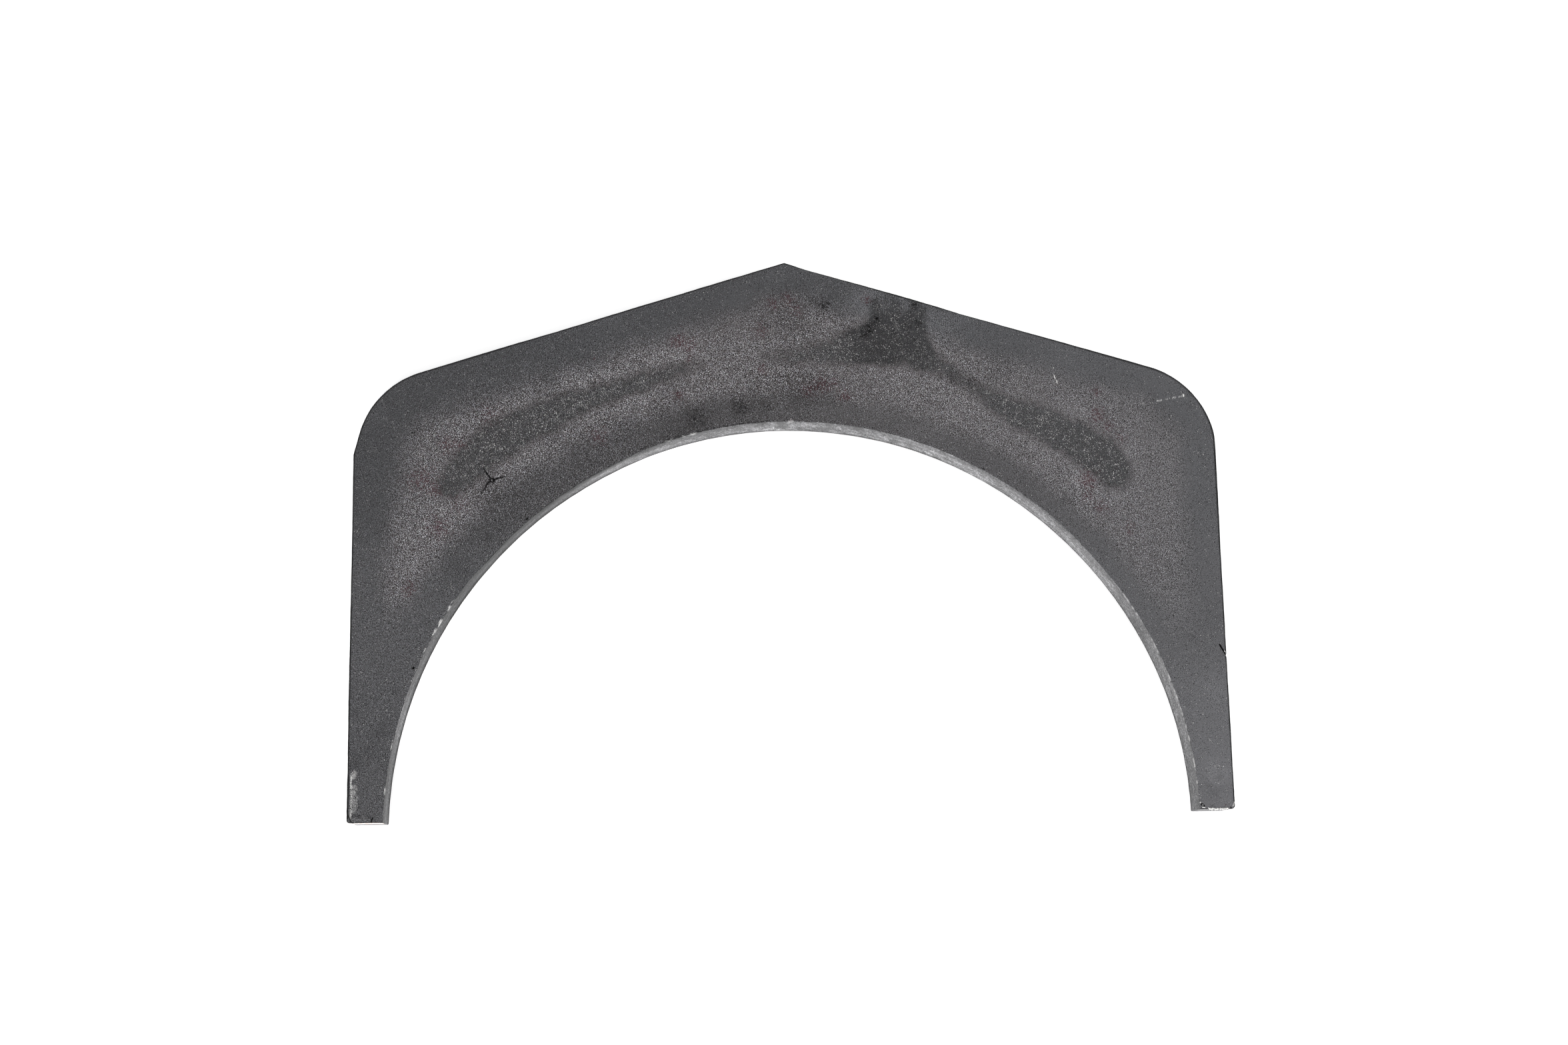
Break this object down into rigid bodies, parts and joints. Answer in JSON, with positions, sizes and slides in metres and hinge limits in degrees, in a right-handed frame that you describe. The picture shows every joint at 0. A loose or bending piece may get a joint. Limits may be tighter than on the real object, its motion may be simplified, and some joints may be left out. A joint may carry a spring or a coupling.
{
  "type": "arched liner plate",
  "caption": "Flat cast iron liner plate with a gabled top, rounded shoulders and a half-round arch that straddles a round shell or shaft housing.",
  "frame": {"origin": "on the arch's axis, at the plate's back face", "axes": "+Z out of the plate's front face, which looks up when the plate lies on its back; +Y from the feet to the gable's apex; +X across the plate, to the right as seen from the front"},
  "size_m": [0.435, 0.2816, 0.02],
  "materials": {
    "cast_iron": "as-cast grey skin with heat stains; the arch's wall is ground bright"
  },
  "bodies": {
    "root": {"liner_plate": "cast_iron"}
  },
  "joints": []
}
